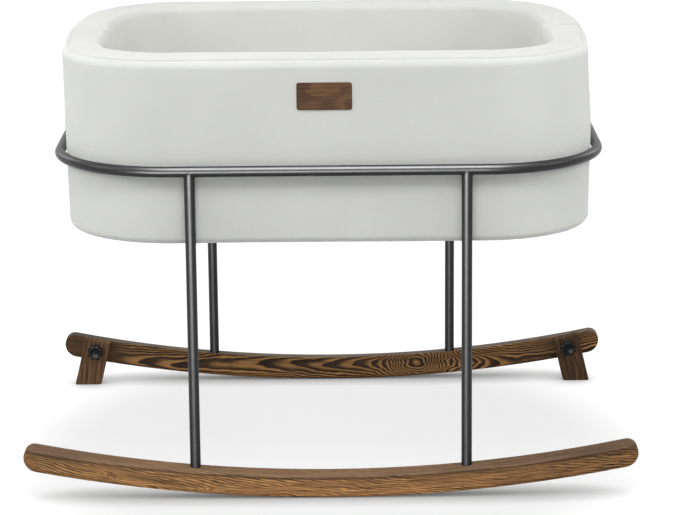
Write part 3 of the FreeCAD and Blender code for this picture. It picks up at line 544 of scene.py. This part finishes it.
def floor_white():
    """White floor with painted shadows under and beside the cradle, and plain matt grey for
    scattered light.
    """
    material = bpy.data.materials.new("floor_white")
    material.use_nodes = True
    tree = material.node_tree
    tree.nodes.clear()
    seen = seen_directly(tree)
    place = stretched(tree, add_node(tree, "TexCoord").outputs["Object"], 1.0, 1.0, 0.0)
    away = shifted(tree, place, (0.0, -SHADOW_FIELD_CENTRE_Y, 0.0))
    away = add_node(tree, "VectorMath", {0: away}, operation="LENGTH").outputs["Value"]
    # Painted shadow: the white dims in a round field under the cradle
    shadowed_glow = smooth_step(tree, away, SHADOW_FIELD_INNER, SHADOW_FIELD_OUTER)
    shadowed_glow = add_math(tree, "MULTIPLY_ADD", shadowed_glow, SHADOW_FIELD_DEPTH, 1 - SHADOW_FIELD_DEPTH)
    # Painted contact shadow: darker where an occlusion node finds something close
    contact_shadow = add_node(tree, "AmbientOcclusion", {"Distance": CONTACT_SHADOW_REACH}, samples=16)
    contact_shadow = add_math(tree, "POWER", contact_shadow.outputs["AO"], CONTACT_SHADOW_POWER)
    contact_shadow = add_math(tree, "MULTIPLY_ADD", contact_shadow, CONTACT_SHADOW_DEPTH, 1 - CONTACT_SHADOW_DEPTH)
    shadowed_glow = add_math(tree, "MULTIPLY", shadowed_glow, contact_shadow)
    matt = add_node(tree, "BsdfDiffuse", {"Color": grey(FLOOR_MATT)})
    pale = add_node(tree, "BsdfDiffuse", {"Color": grey(FLOOR_PALE)})
    white = add_node(tree, "Emission", {"Color": grey(1.0), "Strength": shadowed_glow})
    shown = add_node(tree, "AddShader", {0: pale.outputs[0], 1: white.outputs[0]})
    mix = add_node(tree, "MixShader", {0: seen, 1: matt.outputs[0], 2: shown.outputs[0]})
    output = add_node(tree, "OutputMaterial", {"Surface": mix.outputs[0]})
    output.is_active_output = True
    return material


def add_floor():
    mesh = bpy.data.meshes.new("floor")
    corners = [(x * FLOOR_REACH, y * FLOOR_REACH, 0)
               for x, y in ((-1, -1), (1, -1), (1, 1), (-1, 1))]
    mesh.from_pydata(corners, [], [(0, 1, 2, 3)])
    mesh.materials.append(floor_white())
    floor = bpy.data.objects.new("floor", mesh)
    bpy.context.scene.collection.objects.link(floor)


def add_world():
    """A world that is seen as white, but gives a dimmer, even light."""
    world = bpy.data.worlds.new("studio")
    world.use_nodes = True
    tree = world.node_tree
    tree.nodes.clear()
    dim = add_node(tree, "Background", {"Color": srgb(247, 248, 248), "Strength": WORLD_LIGHT})
    white = add_node(tree, "Background", {"Color": grey(1.0), "Strength": 1.0})
    mix = add_node(tree, "MixShader",
                   {0: seen_directly(tree), 1: dim.outputs[0], 2: white.outputs[0]})
    add_node(tree, "OutputWorld", {"Surface": mix.outputs[0]})
    bpy.context.scene.world = world


def add_lamp(name, place, aim, width, height, power, highlight=False):
    """A soft lamp that faces a point; a highlight lamp only shows as a reflection in gloss."""
    lamp = bpy.data.lights.new(name, "AREA")
    lamp.shape = "RECTANGLE"
    lamp.size, lamp.size_y = width, height
    lamp.energy = power
    item = bpy.data.objects.new(name, lamp)
    direction = Vector(aim) - Vector(place)
    item.rotation_euler = direction.to_track_quat("-Z", "Y").to_euler()
    item.location = place
    item.visible_camera = False
    item.visible_diffuse = not highlight
    bpy.context.scene.collection.objects.link(item)


# Meshes

def circle(steps):
    """Angles of points spread evenly round a circle."""
    return [2 * math.pi * step / steps for step in range(steps)]


def shade_smooth(mesh):
    for face in mesh.polygons:
        face.use_smooth = True


def new_piece(name, vertices, faces, material, body):
    """A mesh object that rides on a body of the frame."""
    mesh = bpy.data.meshes.new(name)
    mesh.from_pydata([tuple(map(float, vertex)) for vertex in vertices], [], faces)
    mesh.update()
    mesh.materials.append(material)
    shade_smooth(mesh)
    item = bpy.data.objects.new(name, mesh)
    bpy.context.scene.collection.objects.link(item)
    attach(item, body)
    return item


def grid_faces(rows, columns, closed_columns=True, closed_rows=False, flip=False):
    """Quads between neighbours of a grid whose vertices are numbered row by row."""
    faces = []
    for row in range(rows if closed_rows else rows - 1):
        for column in range(columns if closed_columns else columns - 1):
            next_row, next_column = (row + 1) % rows, (column + 1) % columns
            face = (row * columns + column, row * columns + next_column,
                    next_row * columns + next_column, next_row * columns + column)
            faces.append(face[::-1] if flip else face)
    return faces


def thicken(piece, even):
    """Give a cover its real thickness, inwards."""
    thickness = piece.modifiers.new("thickness", "SOLIDIFY")
    thickness.thickness = COVER
    thickness.offset = -1.0
    thickness.use_even_offset = even


def apply_modifiers(piece):
    """Replace a piece's mesh by what its modifiers make of it."""
    graph = bpy.context.evaluated_depsgraph_get()
    mesh = bpy.data.meshes.new_from_object(piece.evaluated_get(graph))
    piece.modifiers.clear()
    piece.data = mesh


def smooth_noise(points, size, seed):
    """Slow noise from -1 to 1 at each point, with features about as large as size."""
    offset = Vector((seed * 7.3, seed * 3.1, seed * 5.7))
    return np.array([noise.noise(Vector(point) / size + offset) for point in points])


def unit(vectors):
    """Vectors of length 1, along the last axis of an array."""
    return vectors / np.linalg.norm(vectors, axis=-1, keepdims=True)


def lengths_along(steps, axis):
    """The length from the first point of each line to every one of its points."""
    start = np.zeros_like(np.take(steps, [0], axis=axis))
    return np.concatenate([start, np.cumsum(steps, axis=axis)], axis=axis)


def rounding(centre_z, radius, angle):
    """A rounded edge's height and its depth in from the wall, at an angle up from level."""
    return centre_z + radius * math.sin(angle), radius * (1 - math.cos(angle))


# Basket: covers swept round rounded rectangles that widen upwards

def round_outline(half_length, half_width, radius):
    """Points round a rounded rectangle, anticlockwise from the middle of its right side."""
    flat_x, flat_y = half_length - radius, half_width - radius
    points = []

    def run(start, stop, steps):
        for step in range(steps):
            share = step / steps
            points.append([start[0] + (stop[0] - start[0]) * share,
                           start[1] + (stop[1] - start[1]) * share])

    def bend(centre, quarter):
        for step in range(ARC_STEPS):
            angle = (quarter + step / ARC_STEPS) * math.pi / 2
            points.append([centre[0] + radius * math.cos(angle),
                           centre[1] + radius * math.sin(angle)])

    half = SHORT_STEPS // 2
    run((half_length, 0), (half_length, flat_y), half)
    bend((flat_x, flat_y), 0)
    run((flat_x, half_width), (-flat_x, half_width), LONG_STEPS)
    bend((-flat_x, flat_y), 1)
    run((-half_length, flat_y), (-half_length, -flat_y), SHORT_STEPS)
    bend((-flat_x, -flat_y), 2)
    run((-flat_x, -half_width), (flat_x, -half_width), LONG_STEPS)
    bend((flat_x, -flat_y), 3)
    run((half_length, -flat_y), (half_length, 0), half)
    return np.array(points)


def outer_outline(z, inset=0.0):
    """The basket's outer face at a height; its walls draw in downwards."""
    inset += (TOP_Z - z) * WALL_SLOPE
    return round_outline(TOP_HALF[0] - inset, TOP_HALF[1] - inset, OUTER_CORNER - inset)


def inner_outline():
    return round_outline(TOP_HALF[0] - END_WALL, TOP_HALF[1] - SIDE_WALL, INNER_CORNER)


def settle(plan, z, settled):
    """Move points of the plan as the padded top has settled and leans a little to the left."""
    weight = min(1.0, max(0.0, (z - SETTLE_LOW) / (TOP_Z - SETTLE_LOW)))
    weight *= weight * (3 - 2 * weight)
    angles = np.degrees(np.arctan2(plan[:, 1], abs(plan[:, 0])))
    moves = np.interp(angles, *zip(*settled)) / 1000
    for _ in range(SETTLE_BLUR):
        moves = (np.roll(moves, 1) + 2 * moves + np.roll(moves, -1)) / 4
    around = np.roll(plan, -1, axis=0) - np.roll(plan, 1, axis=0)
    outward = unit(np.column_stack([around[:, 1], -around[:, 0]]))
    moved = plan + outward * (moves * weight)[:, None]
    moved[:, 0] -= LEAN * weight
    return moved


def wall_points(z, depth, from_inside=False):
    """Points round the wall at a height, a depth in from its outer or its inner face."""
    outside = settle(outer_outline(z), z, SETTLED_OUTER)
    inside = settle(inner_outline(), z, SETTLED_INNER)
    across = unit(inside - outside)
    plan = inside - across * depth if from_inside else outside + across * depth
    return np.column_stack([plan, np.full(len(plan), z)])


def cover_rows():
    """The outer cover's rows of points, from the seam down and in under the base."""
    rim_z, base_z = TOP_Z - RIM_OUTER, FLOOR_Z + BASE_EDGE
    profile = [rounding(rim_z, RIM_OUTER, SEAM_ANGLE * (1 - share))
               for share in np.linspace(0, 1, OUTER_RIM_ROWS)]
    profile += [(z, 0.0) for z in np.linspace(rim_z, base_z, OUTER_WALL_ROWS)[1:-1]]
    profile += [rounding(base_z, BASE_EDGE, -angle)
                for angle in np.linspace(0, math.pi / 2, BASE_ROWS)]
    profile += [(FLOOR_Z, depth)
                for depth in np.linspace(BASE_EDGE, COVER_RETURN, RETURN_ROWS)[1:]]
    return np.array([wall_points(z, depth) for z, depth in profile])


def lining_rows():
    """The lining's rows of points, from the seam over the rim and down to the floor."""
    rows = [wall_points(*rounding(TOP_Z - RIM_OUTER, RIM_OUTER, angle))
            for angle in np.linspace(SEAM_ANGLE, math.pi / 2, LINING_RIM_ROWS)]
    start, stop = rows[-1], wall_points(TOP_Z, RIM_INNER, from_inside=True)
    for share in np.linspace(0, 1, CROWN_ROWS)[1:-1]:
        row = start + (stop - start) * share
        row[:, 2] += RIM_CROWN * math.sin(math.pi * share)
        rows.append(row)
    inner_z = TOP_Z - RIM_INNER
    profile = [rounding(inner_z, RIM_INNER, angle)
               for angle in np.linspace(math.pi / 2, 0, INNER_RIM_ROWS)]
    profile += [(z, 0.0) for z in np.linspace(inner_z, LINING_TOP_Z, LINING_WALL_ROWS)[1:]]
    rows += [wall_points(z, depth, from_inside=True) for z, depth in profile]
    return np.array(rows)


def grid_normals(rows, flip):
    """Outward directions of a grid of points that closes round its columns."""
    around = np.roll(rows, -1, axis=1) - np.roll(rows, 1, axis=1)
    along = np.gradient(rows, axis=0)
    normals = unit(np.cross(along, around))
    return -normals if flip else normals


def sew(rows, normals, seed):
    """Draw a cover in at the seam along its first row, pucker it there and let its wall wave."""
    steps = np.linalg.norm(np.diff(rows, axis=0), axis=2)
    from_seam = lengths_along(steps, axis=0)
    groove = SEAM_DEPTH * np.exp(-(from_seam / SEAM_SPREAD) ** 2)
    around = np.linalg.norm(np.diff(rows[0], axis=0, append=rows[0][:1]), axis=1)
    along = lengths_along(around, axis=0)[:-1]
    generator = random.Random(seed)
    ripple = np.zeros(len(along))
    for turns in PUCKER_TURNS:
        phase = generator.uniform(0, 2 * math.pi)
        angles = 2 * math.pi * turns * along / np.sum(around) + phase
        ripple += generator.uniform(0.3, 1.0) * np.sin(angles)
    ripple /= np.max(np.abs(ripple))
    pucker = PUCKER * ripple * np.exp(-from_seam / PUCKER_REACH)
    wave = smooth_noise(rows.reshape(-1, 3), WALL_WAVE_SIZE, seed).reshape(rows.shape[:2])
    wave *= WALL_WAVE * (1 - np.exp(-from_seam / WALL_WAVE_START))
    return rows + normals * (pucker + wave - groove)[:, :, None]


def end_seam(part):
    """Draw a lining half in at both of its ends, where it meets the other half."""
    along = lengths_along(np.linalg.norm(np.diff(part, axis=1), axis=2), axis=1)
    from_end = np.minimum(along, along[:, -1:] - along)
    normals = unit(np.cross(np.gradient(part, axis=1), np.gradient(part, axis=0)))
    groove = SEAM_DEPTH * np.exp(-(from_end / (2 * SEAM_SPREAD)) ** 2)
    groove *= np.clip((part[:, :, 2] - SEAM_FADE_Z) / SEAM_FADE, 0, 1)
    return part - normals * groove[:, :, None]


def shell(name, rows, material, closed, flip):
    """A cover of the basket with its real thickness, from a grid of points."""
    count, width = rows.shape[:2]
    faces = grid_faces(count, width, closed_columns=closed, flip=flip)
    piece = new_piece(name, rows.reshape(-1, 3), faces, material, "basket")
    thicken(piece, even=True)
    return piece


def plan_sheet(name, outline, z, material, facing, wave, seed):
    """A flat cover inside an outline, as nested rings of points that wave a little."""
    waves = [wave * rise for rise in SHEET_RISE] + [wave] * (len(SHEET_SHARES) - len(SHEET_RISE))
    vertices = []
    for share, limit in zip(SHEET_SHARES, waves):
        for x, y in outline * share:
            bump = noise.noise(Vector((x, y, seed)) / SHEET_WAVE_SIZE)
            vertices.append((x, y, z + facing * limit * bump))
    faces = grid_faces(len(SHEET_SHARES), len(outline), flip=facing > 0)
    centre = len(vertices)
    vertices.append((0.0, 0.0, z))
    last = centre - len(outline)
    for step in range(len(outline)):
        face = (last + step, last + (step + 1) % len(outline), centre)
        faces.append(face if facing > 0 else face[::-1])
    piece = new_piece(name, vertices, faces, material, "basket")
    thicken(piece, even=False)
    return piece


def add_basket(fabric, lining_fabric, thread):
    rows = cover_rows()
    rows = sew(rows, grid_normals(rows, flip=False), seed=3)
    cover = shell("basket_cover", rows, fabric, closed=True, flip=False)
    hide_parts("outer_cover", "wall_foam")
    # The seam's thread: a real thread, coloured dark as a painted shadow of the seam's groove
    vertices, faces = bead(rows[0], seed=1, size=SEAM_THREAD, ripple=THREAD_RIPPLE)
    new_piece("rim_seam", vertices, faces, thread, "basket")

    rows = lining_rows()
    rows = sew(rows, grid_normals(rows, flip=True), seed=5)
    count = rows.shape[1]
    middle = count // 2
    halves = {"rear": list(range(0, middle + 1)), "front": list(range(middle, count)) + [0]}
    for label, columns in halves.items():
        inward = end_seam(rows[:, columns])
        piece = shell("rim_cover_" + label, inward, lining_fabric, closed=False, flip=True)
        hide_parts("rim_lining_" + label)

    sheet = plan_sheet("floor_cover", inner_outline(), LINING_TOP_Z - LINING_GAP, lining_fabric,
                       facing=1, wave=0.0003, seed=4.0)
    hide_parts("floor_lining")
    sheet = plan_sheet("underside_cover", outer_outline(FLOOR_Z, COVER_RETURN), FLOOR_Z, fabric,
                       facing=-1, wave=-0.0002, seed=9.0)
    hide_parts("bottom_cover")


# Mattress: a foam pad in a cover, swelled by a cloth simulation

def add_mattress(fabric):
    low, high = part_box("mattress_core")
    profile = [rounding(low.z + PAD_EDGE, PAD_EDGE, angle)
               for angle in np.linspace(-math.pi / 2, 0, PAD_EDGE_ROWS)]
    profile += [rounding(high.z - PAD_DROP - PAD_EDGE, PAD_EDGE, angle)
                for angle in np.linspace(0, math.pi / 2, PAD_EDGE_ROWS)]
    vertices = []
    for z, depth in profile:
        inset = depth + PAD_INSET
        outline = round_outline(high.x - inset, high.y - inset, PAD_CORNER - inset)
        vertices += [(x, y, z) for x, y in outline]
    width = len(vertices) // len(profile)
    faces = grid_faces(len(profile), width)
    faces.append(tuple(range(width))[::-1])
    faces.append(tuple((len(profile) - 1) * width + step for step in range(width)))
    pad = new_piece("mattress_pad", vertices, faces, fabric, "mattress")
    inflate(pad, floor=low.z)
    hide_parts("mattress_core", "mattress_cover", "mattress_base")


def inflate(piece, floor):
    """Swell a piece under cloth pressure, hold it to a limit and keep its base flat."""
    remesh = piece.modifiers.new("remesh", "REMESH")
    remesh.mode = "VOXEL"
    remesh.voxel_size = PAD_VOXEL
    apply_modifiers(piece)
    start = np.array([vertex.co for vertex in piece.data.vertices])
    settings = piece.modifiers.new("cloth", "CLOTH").settings
    settings.use_pressure = True
    settings.uniform_pressure_force = PAD_PRESSURE
    settings.effector_weights.gravity = 0.0
    scene = bpy.context.scene
    for step in range(1, PAD_FRAMES + 1):
        scene.frame_set(step)
    apply_modifiers(piece)
    scene.frame_set(1)
    end = np.array([vertex.co for vertex in piece.data.vertices])
    move = end - start
    length = np.linalg.norm(move, axis=1)[:, None]
    end = start + move * np.minimum(1, PAD_LIMIT / np.maximum(length, 1e-9))
    end[:, 2] = np.maximum(end[:, 2], floor)
    piece.data.vertices.foreach_set("co", end.ravel())
    smoother = piece.modifiers.new("finer", "SUBSURF")
    smoother.levels = smoother.render_levels = 1
    apply_modifiers(piece)
    shade_smooth(piece.data)


# Knobs: lobed heads with a dished face

def lobe_radius(angle, radius):
    """A knob's radius at an angle, with a round groove between its lobes."""
    centre = radius + LOBE_GROOVE - LOBE_BITE
    pitch = 2 * math.pi / KNOB_LOBES
    off = (angle + pitch / 2) % pitch - pitch / 2
    inside = LOBE_GROOVE ** 2 - (centre * math.sin(off)) ** 2
    if inside <= 0:
        return radius
    wall = centre * math.cos(off) - math.sqrt(inside)
    blend = math.exp(-radius / LOBE_BLEND) + math.exp(-wall / LOBE_BLEND)
    return -LOBE_BLEND * math.log(blend)


def add_knob(side, plastic):
    label = SIDE_NAMES[side]
    low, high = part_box("knob_" + label)
    centre = (low + high) / 2
    back, rim = high.y, (high.x - low.x) / 2
    vertices = []
    for radius, depth in KNOB_PROFILE:
        share = 0.0
        if depth > LOBED_DEPTH:
            share = min(1.0, max(0.0, (radius - LOBED_RADIUS) / LOBED_SPREAD))
        for angle in circle(KNOB_STEPS):
            lobed = radius - (rim - lobe_radius(angle, rim)) * share
            vertices.append((centre.x + lobed * math.cos(angle), back - depth,
                             centre.z + lobed * math.sin(angle)))
    faces = grid_faces(len(KNOB_PROFILE), KNOB_STEPS)
    last = (len(KNOB_PROFILE) - 1) * KNOB_STEPS
    faces.append(tuple(last + step for step in range(KNOB_STEPS)))
    faces.append(tuple(range(KNOB_STEPS))[::-1])
    knob = new_piece("clamp_knob_" + label, vertices, faces, plastic, "knob_" + label)
    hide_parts("knob_" + label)


# Beads: the seam's thread, and the welds where the frame's tubes meet

def square_to(tangent, last):
    """The direction nearest to the last one that is square to a tangent."""
    return (last - tangent * last.dot(tangent)).normalized()


def bead(path, seed, size=BEAD, ripple=BEAD_RIPPLE):
    """A rippled round bead along a closed path: its vertices and faces."""
    count = len(path)
    phase = random.Random(seed).uniform(0, 2 * math.pi)
    vertices = []
    for step in range(count):
        here = Vector(path[step])
        tangent = (Vector(path[(step + 1) % count]) - Vector(path[step - 1])).normalized()
        side = square_to(tangent, side) if step else tangent.orthogonal().normalized()
        other = tangent.cross(side)
        radius = size * (1 + ripple * math.sin(step * math.pi / 3 + phase))
        for angle in circle(BEAD_SIDES):
            vertices.append(here + side * radius * math.cos(angle)
                            + other * radius * math.sin(angle))
    return vertices, grid_faces(count, BEAD_SIDES, closed_rows=True)


def leg_line(side, end):
    """A leg's middle line, as its point at its lower end and its upward direction."""
    mesh = nodes[f"leg_{END_NAMES[end]}_{SIDE_NAMES[side]}"].data
    points = np.array([vertex.co for vertex in mesh.vertices])
    heights = points[:, 2]
    low_points = points[heights < heights.min() + LEG_END]
    high_points = points[heights > heights.max() - LEG_END]
    low = Vector((low_points.min(0) + low_points.max(0)) / 2)
    high = Vector((high_points.min(0) + high_points.max(0)) / 2)
    return low, (high - low).normalized()


def ring_weld(x, y, z):
    """The line where a leg's round end meets the ring from below."""
    radius = TUBE / 2
    path = []
    for angle in circle(RING_WELD_STEPS):
        off_x, off_y = radius * math.cos(angle), radius * math.sin(angle)
        drop = math.sqrt(max(0.0, radius ** 2 - off_y ** 2))
        path.append((x + off_x, y + off_y, z - drop - BEAD_STANDOFF))
    return path


def bar_weld(middle, end):
    """The line where a crossbar's end meets a leg, from the leg's middle at the bar's height."""
    path = []
    for angle in circle(BAR_WELD_STEPS):
        off_x, off_z = CROSSBAR / 2 * math.cos(angle), CROSSBAR / 2 * math.sin(angle)
        out = math.sqrt((TUBE / 2) ** 2 - off_x ** 2)
        path.append((middle.x + off_x, middle.y - end * (out + BEAD_STANDOFF), middle.z + off_z))
    return path


def add_welds(coat):
    ring_low, ring_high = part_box("ring_tube")
    ring_z = (ring_low.z + ring_high.z) / 2
    crossbar_low, crossbar_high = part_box("crossbar_left")
    bar_z = (crossbar_low.z + crossbar_high.z) / 2
    paths = []
    for number, (side, end) in enumerate(CORNERS):
        low, up = leg_line(side, end)
        paths.append((ring_weld(low.x, end * (ring_high.y - TUBE / 2), ring_z), number))
        paths.append((bar_weld(low + up * ((bar_z - low.z) / up.z), end), number + 10))
    vertices, faces = [], []
    for path, seed in paths:
        new_vertices, new_faces = bead(path, seed)
        start = len(vertices)
        vertices.extend(new_vertices)
        faces.extend(tuple(index + start for index in face) for face in new_faces)
    new_piece("frame_welds", vertices, faces, coat, "stand")


def paint(material, *names):
    """Give CAD nodes a material, in every slot of their meshes."""
    for name in names:
        mesh = nodes[name].data
        mesh.materials.clear()
        mesh.materials.append(material)


# Stage

bpy.context.scene.view_settings.view_transform = "Standard"
add_camera()
add_floor()
add_world()
for lamp in LAMPS:
    add_lamp(*lamp)
for lamp in HIGHLIGHT_LAMPS:
    add_lamp(*lamp, highlight=True)

# Materials

coat = powder_coat()
plastic = gloss_plastic()
steel = bare_metal("bright_steel_turned", srgb(186, 188, 190), 0.28)
brass = bare_metal("brass_turned", srgb(196, 160, 88), 0.3)
fabric = cloth("basket_cloth", srgb(217, 218, 213), srgb(223, 224, 219), thread=0.0011)
lining = cloth("lining_cloth", srgb(211, 211, 207), srgb(217, 217, 213), thread=0.0011)
pad_cloth = cloth("mattress_cloth", srgb(228, 228, 224), srgb(236, 236, 232), thread=0.0016)
# Dark thread: partly its own colour, partly a painted shadow along the seam
seam_thread_painted_shadow = cloth("seam_thread_painted_shadow", srgb(64, 64, 62), srgb(76, 76, 74), thread=0.0006)
# The rockers' crown colours are a painted sheen on their tops
front_wood = wood(
    "front_rocker_wood", srgb(50, 32, 19), srgb(170, 122, 74), srgb(216, 159, 95), slanted_rings,
    spread=0.86, streak=0.60, curved=0.9, ripple=0.5, late=0.29, patchy=0.8,
    crown=srgb(118, 92, 68),
    shade=((-0.5, 0.74), (-0.42, 0.82), (-0.33, 0.96), (-0.23, 1.08), (0.0, 1.10), (0.10, 1.02),
           (0.16, 0.96), (0.26, 0.78), (0.36, 0.62), (0.5, 0.62)))
rear_wood = wood(
    "rear_rocker_wood", srgb(38, 26, 17), srgb(118, 82, 51), srgb(198, 145, 87), arched_rings,
    streak=0.28, curved=1.0, late=0.45, patchy=0.15, calm=(-0.37, -0.42),
    crown=srgb(124, 114, 103), sheen_from=0.333,
    shade=((-0.5, 0.55), (-0.44, 0.64), (-0.38, 0.95), (-0.32, 1.08), (0.3, 1.0), (0.5, 0.9)))
stop_colours = {
    LEFT: (srgb(52, 35, 22), srgb(121, 88, 57), srgb(148, 108, 71)),
    RIGHT: (srgb(42, 28, 18), srgb(90, 65, 42), srgb(110, 82, 54))}
stop_woods = {
    side: wood(f"stop_{SIDE_NAMES[side]}_wood", *colours,
               log_rings(heart=(0.26, 0.44 * side), ring=0.0085, wander=0.03), spread=0.5,
               streak=0.5, tilt=math.radians(90 + 13.5 * side), patchy=0.6)
    for side, colours in stop_colours.items()}
badge_wood = wood(
    "badge_wood", srgb(58, 37, 22), srgb(98, 67, 40), srgb(122, 86, 50),
    log_rings(heart=(-0.20, 0.66), ring=0.006, wander=0.02), spread=0.5,
    burnt=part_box("badge_plate"))
board_wood = wood(
    "board_wood", srgb(150, 120, 84), srgb(190, 160, 118), srgb(204, 176, 134),
    log_rings(heart=(0.1, 0.2), ring=0.006, wander=0.02), spread=0.6, streak=0.2)

paint(coat, "ring_tube", "leg_front_left", "leg_front_right", "leg_rear_left", "leg_rear_right",
      "crossbar_left", "crossbar_right")
paint(steel, "leg_plugs", "leg_bolts", "leg_washers", "knob_stud_left", "knob_stud_right",
      "knob_washer_left", "knob_washer_right")
paint(brass, "knob_inserts")
paint(front_wood, "front_rocker")
paint(rear_wood, "rear_rocker")
paint(stop_woods[LEFT], "stop_left")
paint(stop_woods[RIGHT], "stop_right")
paint(badge_wood, "badge_plate")
paint(board_wood, "base_board")

# Pieces

add_basket(fabric, lining, seam_thread_painted_shadow)
add_mattress(pad_cloth)
for side in (LEFT, RIGHT):
    add_knob(side, plastic)
add_welds(coat)
